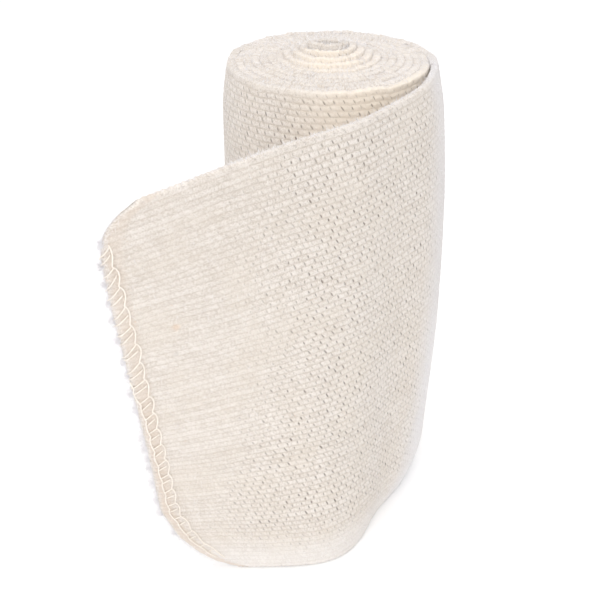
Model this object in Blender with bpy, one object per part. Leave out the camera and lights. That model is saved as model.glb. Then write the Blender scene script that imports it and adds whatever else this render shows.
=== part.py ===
"""An elastic crepe bandage: a roll of woven cotton strip that stands on end, with its free end led across the front.

The strip is drawn by its outer face. A place on it is a distance along the strip and a height across it.
wound_roll is the part of the strip that is wound, from the folded core to the line where the cloth leaves the roll.
loose_end is the rest, from that line to the cut end, whose two corners are round.
Seen from above the strip runs clockwise from the core outwards. All lengths are in metres.
"""

import math

import bpy
import numpy as np

CLOTH_WIDTH = 0.100
CLOTH_THICKNESS = 0.0014
TURN_GAP = 0.00035
ROLL_RADIUS = 0.0233
CORE_HALF_WIDTH = 0.0032
LEAVING_ANGLE = math.radians(-8)
LEAVING_GAP = 0.0003
LOOSE_FOOT_LENGTH = 0.0765
LOOSE_HEAD_LENGTH = 0.0915
SHOULDER_HEIGHT = 0.010
FOOT_INSET = 0.0026
HEAD_INSET = 0.0012
SIDE_SWELL = 0.0021
SWELL_BACK = 0.024
SWELL_ALONG = 0.022

STEPS_PER_TURN = 28
LOOSE_STEPS = 26
HEADING_STEPS = 240
WOUND_ROWS = [0, 1, 2, 4, 6, 7, 8]
ROW_DIGITS = 6

# The core is a flat fold, a little behind the roll's axis, and the turns round it grow round again.
# Columns: outer radius, flattening and shift to the back, each as a share of ROLL_RADIUS.
CORE_SHAPE = (
    (0.14, 0.064, 0.030),
    (0.21, 0.064, 0.030),
    (0.29, 0.030, 0.000),
    (0.45, 0.000, 0.000),
)

# The turns have slipped along the axis, so the roll is raised in the middle and hollow underneath.
# Columns: outer radius as a share of ROLL_RADIUS, lift as a share of CLOTH_WIDTH.
TURN_LIFTS = (
    (0.14, 0.038),
    (0.22, 0.036),
    (0.30, 0.027),
    (0.44, 0.015),
    (0.54, 0.006),
    (0.59, 0.009),
    (0.68, 0.006),
    (0.80, 0.003),
    (0.91, 0.000),
    (1.00, 0.000),
)

# How the loose end turns to the left of the direction in which it leaves the roll, at its foot and at its head.
# Columns: share of the loose length, turn of the foot and turn of the head in degrees.
LOOSE_TURNS = (
    (0.00, 0, 0),
    (0.08, 14, 5),
    (0.22, 28, 26),
    (0.36, 8, 27),
    (0.48, 30, 45),
    (0.60, 74, 42),
    (0.75, 82, 44),
    (1.00, 91, 55),
)
SHOULDER_FADE = (0.20, 0.55)

# The cloth is slack where it leaves the roll, and swells out there between its edges.
# Columns: height as a share of CLOTH_WIDTH, swell as a share of SIDE_SWELL.
SIDE_SWELL_ROWS = (
    (0.00, 0.00),
    (0.10, 0.00),
    (0.25, 0.50),
    (0.40, 0.92),
    (0.56, 1.00),
    (0.70, 0.93),
    (0.80, 0.72),
    (0.90, 0.32),
    (1.00, 0.00),
)

# The outline of the cut end. Columns: height as a share of CLOTH_WIDTH, reach as a share of the loose length.
CUT_END = (
    (0.000, 0.850),
    (0.050, 0.915),
    (0.100, 0.960),
    (0.190, 1.004),
    (0.350, 1.006),
    (0.600, 1.012),
    (0.800, 1.016),
    (0.900, 1.012),
    (0.955, 1.002),
    (0.980, 0.985),
    (1.000, 0.930),
)

COTTON_COLOUR = (0.80, 0.72, 0.64, 1.0)
COTTON_ROUGHNESS = 0.95


def column(table, index):
    """One column of a table, as an array."""
    return np.array([row[index] for row in table], float)


def read(table, at, index):
    """A table's column at the given values of its first column, by straight lines between the rows."""
    return np.interp(at, column(table, 0), column(table, index))


def clear_scene():
    for obj in list(bpy.data.objects):
        bpy.data.objects.remove(obj, do_unlink=True)


def cotton(name):
    """A matt, unbleached cotton finish of its own for one piece."""
    material = bpy.data.materials.new(name)
    material.use_nodes = True
    shader = material.node_tree.nodes["Principled BSDF"]
    shader.inputs["Base Color"].default_value = COTTON_COLOUR
    shader.inputs["Roughness"].default_value = COTTON_ROUGHNESS
    shader.inputs["Metallic"].default_value = 0.0
    material.diffuse_color = COTTON_COLOUR
    return material


def shoulder(height):
    """How far the roll draws in towards its foot and its head, where the cloth's edges are soft."""
    at_foot = FOOT_INSET * np.clip(1 - height / SHOULDER_HEIGHT, 0, 1)
    at_head = HEAD_INSET * np.clip(1 - (CLOTH_WIDTH - height) / SHOULDER_HEIGHT, 0, 1)
    return at_foot + at_head


def swell(distance, height):
    """How far the slack cloth stands out at a distance past the leaving line, which is negative on the roll."""
    reach = np.where(distance < 0, SWELL_BACK, SWELL_ALONG)
    gone = np.clip(np.abs(distance) / reach, 0, 1)
    near = 1 - gone**2 * (3 - 2 * gone)
    return SIDE_SWELL * near * read(SIDE_SWELL_ROWS, height / CLOTH_WIDTH, 1)


def wound_faces():
    """Outer and inner face of the wound strip, as two grids of points: steps along the strip by rows up it.

    The outer face's half width grows by one turn's pitch a turn. Its half depth is that less the core's flattening,
    and each row draws in by the shoulder's share. The last turn swells out towards the leaving line. The inner face
    lies one thickness inside it.
    """
    pitch = CLOTH_THICKNESS + TURN_GAP
    wound = 2 * math.pi * (ROLL_RADIUS - CORE_HALF_WIDTH) / pitch
    steps = math.ceil(wound / (2 * math.pi) * STEPS_PER_TURN)
    turned = np.linspace(0, wound, steps + 1)
    angle = LEAVING_ANGLE + wound - turned
    half_width = CORE_HALF_WIDTH + pitch * turned / (2 * math.pi)
    share = half_width / ROLL_RADIUS
    half_depth = half_width - read(CORE_SHAPE, share, 1) * ROLL_RADIUS
    back = read(CORE_SHAPE, share, 2) * ROLL_RADIUS
    lift = read(TURN_LIFTS, share, 1) * CLOTH_WIDTH
    rows = column(SIDE_SWELL_ROWS, 0)[WOUND_ROWS] * CLOTH_WIDTH
    keep = 1 - shoulder(rows) / ROLL_RADIUS
    slack = swell((turned - wound)[:, None] * ROLL_RADIUS, rows)
    faces = []
    for inside in (0, CLOTH_THICKNESS):
        away = slack - inside
        x = np.outer(half_width * np.cos(angle), keep) + away * np.cos(angle)[:, None]
        y = np.outer(half_depth * np.sin(angle) + back, keep) + away * np.sin(angle)[:, None]
        z = lift[:, None] + rows[None, :]
        faces.append(np.stack([x, y, z], axis=2))
    return faces


def loose_line(index, length, inset, reach):
    """Points of the loose end's foot or head line in plan, at the given shares of its length.

    The line starts where the drawn-in edge of the roll ends, and its direction turns as LOOSE_TURNS says.
    Beyond its end it keeps the last direction.
    """
    share = np.linspace(0, max(1.0, reach.max()), HEADING_STEPS + 1)
    heading = -LEAVING_ANGLE + np.radians(read(LOOSE_TURNS, share, index))
    middle = (heading[1:] + heading[:-1]) / 2
    step = length * np.diff(share)
    start = ROLL_RADIUS - inset
    x = start * math.cos(LEAVING_ANGLE) - np.concatenate([[0], np.cumsum(step * np.sin(middle))])
    y = start * math.sin(LEAVING_ANGLE) - np.concatenate([[0], np.cumsum(step * np.cos(middle))])
    return np.interp(reach, share, x), np.interp(reach, share, y)


def loose_faces():
    """Outer and inner face of the loose end, as two grids of points: steps along it by rows up it.

    Each row is a share of the way up straight lines from foot to head, which keep the cloth's width, so the end leans.
    Near the roll the rows between the shoulders bulge out to the roll's own surface, and this fades along the cloth.
    The inner face lies behind the outer one at the same height, so that the foot stands flat.
    """
    rows = np.unique(np.round(np.concatenate([column(CUT_END, 0), column(SIDE_SWELL_ROWS, 0)]), ROW_DIGITS))
    first = LEAVING_GAP / LOOSE_FOOT_LENGTH
    along = np.linspace(0, 1, LOOSE_STEPS + 1)
    reach = first + np.outer(along, read(CUT_END, rows, 1) - first)
    foot_x, foot_y = loose_line(1, LOOSE_FOOT_LENGTH, FOOT_INSET, reach)
    head_x, head_y = loose_line(2, LOOSE_HEAD_LENGTH, HEAD_INSET, reach)
    head_z = np.sqrt(CLOTH_WIDTH**2 - (head_x - foot_x) ** 2 - (head_y - foot_y) ** 2)
    x = foot_x + rows * (head_x - foot_x)
    y = foot_y + rows * (head_y - foot_y)
    outer = np.stack([x, y, rows * head_z], axis=2)
    way_along = np.gradient(outer, axis=0)
    way_up = np.stack([head_x - foot_x, head_y - foot_y, head_z], axis=2)
    out = np.cross(way_up, way_along)
    out /= np.linalg.norm(out, axis=2, keepdims=True)
    fade_start, fade_end = SHOULDER_FADE
    gone = np.clip((reach - fade_start) / (fade_end - fade_start), 0, 1)
    fade = 1 - gone**2 * (3 - 2 * gone)
    inset = FOOT_INSET + rows * (HEAD_INSET - FOOT_INSET)
    bulge = fade * (inset - shoulder(rows * CLOTH_WIDTH))
    outer = outer + out * (bulge + swell(reach * LOOSE_FOOT_LENGTH, rows * CLOTH_WIDTH))[:, :, None]
    level = np.array([1, 1, 0])
    return outer, outer - CLOTH_THICKNESS * out * level


def strip(name, outer, inner):
    """One closed object from a strip's two faces: both faces, the long edges and the two ends."""
    steps, rows = outer.shape[:2]
    points = np.concatenate([outer.reshape(-1, 3), inner.reshape(-1, 3)])
    first_inner = steps * rows

    def at(step, row, inside):
        return step * rows + row + (first_inner if inside else 0)

    faces = []
    for i in range(steps - 1):
        for j in range(rows - 1):
            faces.append((at(i, j, 0), at(i, j + 1, 0), at(i + 1, j + 1, 0), at(i + 1, j, 0)))
            faces.append((at(i, j, 1), at(i + 1, j, 1), at(i + 1, j + 1, 1), at(i, j + 1, 1)))
        faces.append((at(i, 0, 0), at(i + 1, 0, 0), at(i + 1, 0, 1), at(i, 0, 1)))
        top = rows - 1
        faces.append((at(i, top, 0), at(i, top, 1), at(i + 1, top, 1), at(i + 1, top, 0)))
    for j in range(rows - 1):
        end = steps - 1
        faces.append((at(0, j, 0), at(0, j, 1), at(0, j + 1, 1), at(0, j + 1, 0)))
        faces.append((at(end, j, 0), at(end, j + 1, 0), at(end, j + 1, 1), at(end, j, 1)))
    mesh = bpy.data.meshes.new(name)
    mesh.from_pydata(points.tolist(), [], faces)
    mesh.validate()
    mesh.shade_smooth()
    mesh.set_sharp_from_angle(angle=math.radians(40))
    mesh.materials.append(cotton(name + "_cotton"))
    obj = bpy.data.objects.new(name, mesh)
    bpy.context.scene.collection.objects.link(obj)
    return obj


def build():
    """Both pieces, moved so that the origin is under the middle of the whole bandage, on the surface it stands on."""
    clear_scene()
    grids = {"wound_roll": wound_faces(), "loose_end": loose_faces()}
    points = np.concatenate([face.reshape(-1, 3) for pair in grids.values() for face in pair])
    middle = (points.min(axis=0) + points.max(axis=0)) / 2
    shift = np.array([middle[0], middle[1], 0])
    for name, (outer, inner) in grids.items():
        strip(name, outer - shift, inner - shift)


build()
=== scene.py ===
"""The looks of an elastic crepe bandage: a roll of unbleached cotton strip on end, its free end led across the front.

A place on the cloth is a distance along the strip and a height across it, both in metres. The distance is nought
on the line where the cloth leaves the roll, grows to the cut end and is negative on the roll. Seen from above the
strip runs clockwise from the core outwards. The shapes are worked out about the roll's axis and moved into the
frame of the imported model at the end.
"""

import math

import bpy
import numpy as np
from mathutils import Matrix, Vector


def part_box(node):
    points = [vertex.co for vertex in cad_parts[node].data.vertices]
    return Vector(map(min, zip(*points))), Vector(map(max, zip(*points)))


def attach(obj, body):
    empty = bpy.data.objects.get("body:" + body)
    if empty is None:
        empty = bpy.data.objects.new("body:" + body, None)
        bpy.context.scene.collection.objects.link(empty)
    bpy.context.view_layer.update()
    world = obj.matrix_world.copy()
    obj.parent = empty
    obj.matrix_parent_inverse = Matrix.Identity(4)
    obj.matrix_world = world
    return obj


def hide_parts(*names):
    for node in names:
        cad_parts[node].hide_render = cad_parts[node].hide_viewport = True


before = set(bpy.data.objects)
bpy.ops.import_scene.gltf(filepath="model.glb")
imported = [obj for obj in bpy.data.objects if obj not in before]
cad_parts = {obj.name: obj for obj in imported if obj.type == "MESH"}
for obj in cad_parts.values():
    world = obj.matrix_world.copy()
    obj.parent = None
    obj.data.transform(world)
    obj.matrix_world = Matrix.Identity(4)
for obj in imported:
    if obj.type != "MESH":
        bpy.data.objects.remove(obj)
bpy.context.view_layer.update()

MM = 0.001
FULL_TURN = 2 * math.pi

# The strip, as in the part's source.
CLOTH_WIDTH = 100 * MM
CLOTH_THICKNESS = 1.4 * MM
TURN_GAP = 0.35 * MM
ROLL_RADIUS = 23.3 * MM
CORE_HALF_WIDTH = 3.2 * MM
LEAVING_ANGLE = math.radians(-8)
LOOSE_FOOT_LENGTH = 76.5 * MM
LOOSE_HEAD_LENGTH = 91.5 * MM
SHOULDER_HEIGHT = 10 * MM
SHOULDER_POWER = 1.5
FOOT_INSET = 2.6 * MM
HEAD_INSET = 1.2 * MM
SIDE_SWELL = 2.1 * MM
SWELL_BACK = 24 * MM
SWELL_ALONG = 22 * MM
PITCH = CLOTH_THICKNESS + TURN_GAP
WOUND = FULL_TURN * (ROLL_RADIUS - CORE_HALF_WIDTH) / PITCH
STEPS_PER_TURN = 28

# Columns: outer radius, flattening and shift to the back, each as a share of ROLL_RADIUS.
CORE_SHAPE = (
    (0.14, 0.064, 0.030),
    (0.21, 0.064, 0.030),
    (0.29, 0.030, 0.000),
    (0.45, 0.000, 0.000),
    (1.00, 0.000, 0.000),
)
# Columns: outer radius as a share of ROLL_RADIUS, lift as a share of CLOTH_WIDTH.
TURN_LIFTS = (
    (0.14, 0.038),
    (0.22, 0.036),
    (0.30, 0.027),
    (0.44, 0.015),
    (0.54, 0.006),
    (0.59, 0.009),
    (0.68, 0.006),
    (0.80, 0.003),
    (0.91, 0.000),
    (1.00, 0.000),
)
# Columns: share of the loose length, turn of the foot and turn of the head in degrees.
LOOSE_TURNS = (
    (0.00, 0, 0),
    (0.08, 14, 5),
    (0.22, 28, 26),
    (0.36, 8, 27),
    (0.48, 30, 45),
    (0.60, 74, 42),
    (0.75, 82, 44),
    (1.00, 91, 55),
    (1.10, 91, 55),
)
SHOULDER_FADE = (0.20, 0.55)
# Columns: height as a share of CLOTH_WIDTH, swell as a share of SIDE_SWELL.
SIDE_SWELL_ROWS = (
    (0.00, 0.00),
    (0.10, 0.00),
    (0.25, 0.50),
    (0.40, 0.92),
    (0.56, 1.00),
    (0.70, 0.93),
    (0.80, 0.72),
    (0.90, 0.32),
    (1.00, 0.00),
)
# Columns: height as a share of CLOTH_WIDTH, reach as a share of the loose length.
CUT_END = (
    (0.000, 0.800),
    (0.006, 0.845),
    (0.020, 0.888),
    (0.050, 0.932),
    (0.100, 0.977),
    (0.190, 1.011),
    (0.350, 1.009),
    (0.600, 1.012),
    (0.800, 1.016),
    (0.900, 1.014),
    (0.930, 1.010),
    (0.955, 1.000),
    (0.975, 0.982),
    (0.990, 0.955),
    (1.000, 0.915),
)
# The soft fold near the foot. Columns: height as a share of CLOTH_WIDTH, reach as a share of the loose length.
FOLD_LINE = (
    (0.000, 0.290),
    (0.053, 0.261),
    (0.108, 0.225),
    (0.160, 0.184),
    (0.226, 0.146),
    (0.268, 0.064),
    (0.400, 0.030),
)
FOLD_START = (0.01, 0.06)
FOLD_END = (0.22, 0.31)
FOLD_BLUR = 0.03
FOLD_HEIGHT = 0.4 * MM
FOLD_HALF_WIDTH = 2.2 * MM
TABLE_STEPS = 4000
CORE_BLUR = 0.06
LIFT_BLUR = 0.03
TURN_BLUR = 0.07
END_BLUR = 0.012
SWELL_BLUR = 0.10

# The weave: rows of floats that run along the strip, parted by slanted pinholes that step along from row to row.
LOOSE_LENGTH = 84 * MM
HOLE_SPACING = 2.08 * MM
ROW_SPACING = 1.25 * MM
ROW_SLIP = -0.30
HOLE_SLANT = 0.38
ROWS = round(CLOTH_WIDTH / ROW_SPACING)
ROW_RELIEF = 0.115 * MM
FLOAT_RELIEF = 0.035 * MM
HOLE_DEPTH = 0.09 * MM
HOLE_HALF_WIDTH = 0.36 * MM
HOLE_HALF_HEIGHT = 0.46 * MM
# Where the pinholes open. Columns: height as a share of CLOTH_WIDTH, then the way from the cut end, in mm, at which
# they are still shut and at which they are fully open.
OPENING = (
    (0.00, 3, 20),
    (0.25, 5, 26),
    (0.50, 10, 42),
    (1.00, 12, 46),
)
OPENING_BLUR = 0.1
ROLL_OPENING = 0.92
SELVEDGE_RELIEF = 0.15 * MM
SELVEDGE_BUMP = 1.04 * MM
SELVEDGE_REACH = 0.8 * MM
# How far the painted rim light, a pale grey band where the cloth turns away from view, reaches past the leaving line.
# Columns: height as a share of CLOTH_WIDTH, reach as a share of the loose length.
PAINTED_RIM_REACH = (
    (0.00, 0.26),
    (0.11, 0.24),
    (0.20, 0.20),
    (0.30, 0.17),
    (0.45, 0.155),
    (1.00, 0.15),
)
PAINTED_RIM_FADE = (0.35, 1.20)
PAINTED_RIM_BACK = 12 * MM
# The painted bounce light, a warm tan laid on the roll's shade: turns back from the leaving line in radians, heights as
# shares of CLOTH_WIDTH, and radii.
WEDGE_STARTS = (4.2, 5.2)
WEDGE_ENDS = (5.9, 6.4)
WEDGE_HEIGHTS = (0.62, 0.80)
HOLLOW_STARTS = (4.0 * MM, 6.5 * MM)
HOLLOW_ENDS = (10.0 * MM, 13.5 * MM)
# The slow wander of the rows and columns. Columns: cycles a metre along, cycles a metre up, shift along in mm,
# shift up in mm, phase in turns.
WANDER = (
    (17, 12, 0.30, 0.16, 0.12),
    (31, -22, 0.20, 0.12, 0.55),
    (-9, 38, 0.24, 0.08, 0.81),
    (52, 31, 0.10, 0.07, 0.33),
    (74, -67, 0.07, 0.05, 0.94),
)

# The roll's top and foot. The turns lie against each other there, and each is a little out of true.
EDGE_HEIGHT = 0.30 * MM
LOOSE_EDGE_FILL = CLOTH_THICKNESS
WOUND_EDGE_FILL = PITCH - 0.01 * MM
# Columns: cycles a metre along the strip, phase in turns, height in mm.
LUMPS = (
    (61, 0.37, 0.09),
    (97, 0.81, 0.07),
    (143, 0.13, 0.05),
    (211, 0.59, 0.05),
    (347, 0.27, 0.05),
    (523, 0.93, 0.05),
)

# The overlock stitch on the cut end.
# Columns: height as a share of CLOTH_WIDTH, then the chain's and the second thread's way from the cut edge in mm.
STITCH_LINES = (
    (0.02, 4.9, 3.1),
    (0.10, 4.6, 2.8),
    (0.20, 4.0, 2.4),
    (0.35, 3.3, 1.7),
    (0.52, 2.8, 1.2),
    (0.60, 2.6, 0.0),
    (0.72, 2.4, 0.0),
    (0.80, 2.1, 0.0),
    (0.87, 1.6, 0.0),
    (0.94, 0.7, 0.0),
)
STITCH_BLUR = 0.04
STITCHES = 19
STITCH_SPAN = (0.937, 0.035)
LADDER_TOP = 0.60
CHAIN_BULGE = 0.65 * MM
LADDER_BULGE = 0.35 * MM
BULGE_POWER = 0.756
STRAND_STARTS = (0.05, 0.45)
STRAND_DROP = 2.9 * MM
STRAND_BACK_DROP = 1.8 * MM
BACK_SEAM = 3.2 * MM
THREAD_RADIUS = 0.14 * MM
STRAND_RADIUS = 0.12 * MM
THREAD_LIFT = 0.24 * MM
EDGE_BEND = 0.35 * MM
THREAD_SIDES = 8
STRAND_SIDES = 6
POINTS_PER_STITCH = 16
POINTS_PER_STRAND = 22

# The frayed knobs on the cut edge.
# Columns: height as a share of CLOTH_WIDTH, how far the knob stands out and how tall it is in mm.
TUFTS = (
    (0.940, 0.8, 1.3),
    (0.894, 1.0, 0.8),
    (0.850, 0.8, 0.9),
    (0.805, 0.8, 0.8),
    (0.764, 1.0, 0.9),
    (0.711, 1.2, 1.0),
    (0.654, 0.9, 0.9),
    (0.615, 0.8, 0.8),
    (0.564, 1.4, 1.5),
    (0.518, 0.9, 0.9),
    (0.430, 1.3, 1.3),
    (0.400, 1.4, 1.4),
    (0.365, 0.9, 0.9),
    (0.337, 1.0, 0.9),
    (0.286, 1.5, 1.4),
    (0.226, 1.0, 0.9),
    (0.180, 1.1, 0.9),
    (0.110, 0.9, 1.5),
)
TUFT_HAIRS = 70
TUFT_RINGS = 6
TUFT_CURL = 0.22 * MM
TUFT_RADIUS = 0.030 * MM

# The fuzz of loose fibres: curved three-sided spikes.
FUZZ_SHAPE = (1.0, 0.75, 0.25)
FUZZ_RADIUS = 0.030 * MM
FUZZ_LENGTH = (0.35 * MM, 0.95 * MM)
FUZZ_ROOT = 0.12 * MM
CLOTH_FUZZ = 3800
CLOTH_BACK_FUZZ = 1200
SELVEDGE_FUZZ = 1500
CUT_FUZZ = 6500
ROLL_FUZZ = 6200
TOP_FUZZ = 12200
SEED = 11
HAIR_ACROSS = np.array([0.31, 0.52, 0.79])

FRONT_ROW_STEPS = 4
BACK_ROW_STEPS = 3
FRONT_COLUMN_STEPS = 5
ROLL_COLUMN_STEPS = 4
BACK_COLUMN_STEPS = 3
EDGE_STEPS = 5
LIP_LENGTH = 0.9 * MM
LIP_LEAST = 0.12
OUTER_TURNS = 1.06
# The slit in front of the core fold: where it opens and closes as turns in radians, and how much of the cloth's
# thickness it takes from the turn outside it.
SLIT_OPENS = (9.0, 10.0)
SLIT_CLOSES = (11.6, 12.5)
SLIT_SHARE = 0.32
INNER_STEP = 0.30 * MM
NORMAL_STEP = 0.05 * MM

COTTON_DEEP = (0.61, 0.535, 0.465)
COTTON_PALE = (0.87, 0.81, 0.755)
COTTON_TAN = (0.76, 0.68, 0.59)
# Painted rim light: the pale greys of the band where the cloth turns away from view.
PAINTED_RIM_GREY = (0.68, 0.66, 0.67)
PAINTED_RIM_BLUE_GREY = (0.77, 0.76, 0.785)
COTTON_WHITE = (0.93, 0.90, 0.88)
# Painted bounce light: a warm tan that lifts the roll's shade.
PAINTED_BOUNCE_TAN = (0.95, 0.85, 0.73)
BAND_TAN = (0.72, 0.60, 0.50)
# Painted shade seen through the pinholes.
PAINTED_HOLE_SHADE = (0.17, 0.12, 0.09)
SEED_ORANGE = (0.78, 0.50, 0.30)
SEED_GREY = (0.52, 0.48, 0.46)
# Two flecks that show on the loose end. Columns: distance and height in mm, half width in mm, colour.
FLECKS = (
    (75.3, 70.7, 1.1, SEED_ORANGE),
    (76.0, 64.4, 0.8, SEED_GREY),
)

LINT_GLOW = 0.09
FLOOR_HALF_WIDTH = 3.0
FLOOR_GAP = 0.2 * MM
FLOOR_GLOW = 0.08
# Columns: name, place in metres, size in metres, power in watts, colour.
LAMPS = (
    ("key_lamp", (0.02, -1.00, 0.72), 0.8, 4.4, (1.0, 0.995, 0.99)),
    ("left_lamp", (-0.42, -0.75, 0.70), 0.8, 2.1, (1.0, 1.0, 1.0)),
    ("right_lamp", (0.65, -0.60, 0.45), 0.8, 0.4, (0.98, 0.99, 1.0)),
    ("top_lamp", (0.0, 0.20, 1.1), 0.8, 3.3, (0.99, 0.99, 1.0)),
)
LAMP_TARGET = (0.0, 0.0, 0.05)
WORLD_STRENGTH = 0.69
CAMERA_FROM_AXIS = (-6.2 * MM, -241.4 * MM, 175.3 * MM)
CAMERA_PITCH = math.radians(28.65)
CAMERA_LENS = 72
CAMERA_SENSOR = 36
CAMERA_NEAR = 0.01


def column(table, index):
    """One column of a table, as an array."""
    return np.array([row[index] for row in table], float)


def blurred(values, width):
    """A moving average over an odd count of samples, run twice, with the end values held beyond the ends."""
    kernel = np.ones(width) / width
    for _ in range(2):
        padded = np.pad(values, width // 2, mode="edge")
        values = np.convolve(padded, kernel, mode="valid")
    return values


def read(table, at, index, blur):
    """A table's column at the given values of its first column: straight lines between the rows, blurred over a width."""
    keys = column(table, 0)
    fine = np.linspace(keys[0], keys[-1], TABLE_STEPS + 1)
    step = fine[1] - fine[0]
    width = 2 * round(blur / step / 2) + 1
    return np.interp(at, fine, blurred(np.interp(fine, keys, column(table, index)), width))


def smooth(start, end, value):
    """Nought before start and one after end, with a smooth step between."""
    share = np.clip((value - start) / (end - start), 0, 1)
    return share * share * (3 - 2 * share)


def unit(vectors):
    return vectors / np.linalg.norm(vectors, axis=-1, keepdims=True)


def shoulder(height):
    """How far the roll draws in towards its foot and its head: full at an edge, fading over SHOULDER_HEIGHT."""
    at_foot = FOOT_INSET * np.clip(1 - height / SHOULDER_HEIGHT, 0, 1) ** SHOULDER_POWER
    at_head = HEAD_INSET * np.clip(1 - (CLOTH_WIDTH - height) / SHOULDER_HEIGHT, 0, 1) ** SHOULDER_POWER
    return at_foot + at_head


def swell(distance, height):
    """How far the slack cloth stands out at a distance past the leaving line, which is negative on the roll."""
    near = 1 - smooth(0, 1, np.abs(distance) / np.where(distance < 0, SWELL_BACK, SWELL_ALONG))
    return SIDE_SWELL * near * read(SIDE_SWELL_ROWS, height / CLOTH_WIDTH, 1, SWELL_BLUR)


def wound_length(turned):
    """Length of strip from the core to a place on the roll: the spiral's radius grows by PITCH a turn."""
    return CORE_HALF_WIDTH * turned + PITCH * turned**2 / (2 * FULL_TURN)


def wound_place(turned, height, inside):
    """A place on the wound strip, a distance inside its outer face.

    The half width grows by PITCH a turn and the half depth is that less the core's flattening. Both draw in by the
    shoulder's share, and the last turn swells out towards the leaving line. The whole turn is lifted as TURN_LIFTS
    says.
    """
    angle = LEAVING_ANGLE + WOUND - turned
    half_width = CORE_HALF_WIDTH + PITCH * turned / FULL_TURN
    share = half_width / ROLL_RADIUS
    half_depth = half_width - read(CORE_SHAPE, share, 1, CORE_BLUR) * ROLL_RADIUS
    back = read(CORE_SHAPE, share, 2, CORE_BLUR) * ROLL_RADIUS
    lift = read(TURN_LIFTS, share, 1, LIFT_BLUR) * CLOTH_WIDTH
    keep = 1 - shoulder(height) / ROLL_RADIUS
    away = swell((turned - WOUND) * ROLL_RADIUS, height) - inside
    x = half_width * np.cos(angle) * keep + away * np.cos(angle)
    y = (half_depth * np.sin(angle) + back) * keep + away * np.sin(angle)
    return np.stack([x, y, height + lift], axis=-1)


def loose_line(index, length, inset):
    """The foot or head line of the loose end in plan: x and y at even shares of its length.

    It starts where the drawn-in edge of the roll ends, and its direction turns as LOOSE_TURNS says.
    """
    share = np.linspace(0, LOOSE_TURNS[-1][0], TABLE_STEPS + 1)
    heading = -LEAVING_ANGLE + np.radians(read(LOOSE_TURNS, share, index, TURN_BLUR))
    middle = (heading[1:] + heading[:-1]) / 2
    step = length * np.diff(share)
    start = ROLL_RADIUS - inset
    x = start * math.cos(LEAVING_ANGLE) - np.concatenate([[0], np.cumsum(step * np.sin(middle))])
    y = start * math.sin(LEAVING_ANGLE) - np.concatenate([[0], np.cumsum(step * np.cos(middle))])
    return share, x, y


FOOT_LINE = loose_line(1, LOOSE_FOOT_LENGTH, FOOT_INSET)
HEAD_LINE = loose_line(2, LOOSE_HEAD_LENGTH, HEAD_INSET)


def ruled_place(reach, height):
    """A place on the plain loose surface: a share of the way up the straight line from the foot line to the head line."""
    foot = [np.interp(reach, FOOT_LINE[0], FOOT_LINE[i]) for i in (1, 2)]
    head = [np.interp(reach, HEAD_LINE[0], HEAD_LINE[i]) for i in (1, 2)]
    head_z = np.sqrt(CLOTH_WIDTH**2 - (head[0] - foot[0]) ** 2 - (head[1] - foot[1]) ** 2)
    up = height / CLOTH_WIDTH
    return np.stack([foot[0] + up * (head[0] - foot[0]), foot[1] + up * (head[1] - foot[1]), up * head_z], axis=-1)


def ruled_out(reach, height):
    """The plain loose surface's outward direction: the way up crossed with the way along, each by a small difference."""
    step = NORMAL_STEP / LOOSE_LENGTH
    along = ruled_place(reach + step, height) - ruled_place(np.maximum(reach - step, 0), height)
    up = ruled_place(reach, height + NORMAL_STEP) - ruled_place(reach, height - NORMAL_STEP)
    return unit(np.cross(up, along))


def loose_place(distance, height, inside=0.0):
    """A place on the loose end, a distance inside its outer face.

    Near the roll the cloth between the shoulders bulges out to the roll's surface, swells and is folded. All three
    fade along the cloth.
    """
    reach = distance / LOOSE_LENGTH
    out = ruled_out(reach, height)
    inset = FOOT_INSET + height / CLOTH_WIDTH * (HEAD_INSET - FOOT_INSET)
    away = (1 - smooth(*SHOULDER_FADE, reach)) * (inset - shoulder(height))
    away = away + swell(reach * LOOSE_FOOT_LENGTH, height) + fold(distance, height)
    level = np.array([1, 1, 0])
    moved = ruled_place(reach, height) + out * away[..., None]
    return moved - out * level * np.asarray(inside)[..., None]


def fold(distance, height):
    """The soft upright fold near the foot: a bell across the line that FOLD_LINE gives, fading at both its ends."""
    up = height / CLOTH_WIDTH
    across = distance - read(FOLD_LINE, up, 1, FOLD_BLUR) * LOOSE_LENGTH
    ends = smooth(*FOLD_START, up) * (1 - smooth(*FOLD_END, up))
    return FOLD_HEIGHT * ends * np.exp(-((across / FOLD_HALF_WIDTH) ** 2))


def loose_reach(height):
    """The share of the loose length that a row reaches at the cut end, whose corners are round."""
    return read(CUT_END, height / CLOTH_WIDTH, 1, END_BLUR)


def wander(along, up):
    """How far a place of the cloth lies off the even lattice, along and up: a sum of slow slanted waves.

    The shift up fades to nothing at both selvedges, so that the strip keeps its width.
    """
    waves = [
        (math.tau * (along * a + up * b + phase), shift_along, shift_up)
        for a, b, shift_along, shift_up, phase in WANDER
    ]
    inset = smooth(0, 8 * MM, np.minimum(up, CLOTH_WIDTH - up))
    moved_along = sum(amount * MM * np.sin(phase) for phase, amount, _ in waves)
    moved_up = inset * sum(amount * MM * np.cos(phase) for phase, _, amount in waves)
    return moved_along, moved_up


def weave_height(columns, rows):
    """Height of the cotton at a place of the lattice, counted in columns and rows.

    A row is a ridge, half a sine wave high. Along it lie crowned floats, and between them slanted pinholes dip in
    as steep hills turned over. Each row's holes stand ROW_SLIP of a column further along than those of the row below.
    """
    row = np.floor(rows)
    up = (rows - row - 0.5) * ROW_SPACING
    along = np.mod(columns - ROW_SLIP * row, 1) - 0.5
    from_hole = along * HOLE_SPACING - HOLE_SLANT * up
    ridge = np.cos(math.pi * up / ROW_SPACING)
    crown = 0.5 - 0.5 * np.cos(2 * math.tau * along)
    hole = np.exp(-((from_hole / HOLE_HALF_WIDTH) ** 2) - (up / HOLE_HALF_HEIGHT) ** 2)
    return ROW_RELIEF * ridge + FLOAT_RELIEF * ridge * crown - HOLE_DEPTH * hole - ROW_RELIEF / 2


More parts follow.
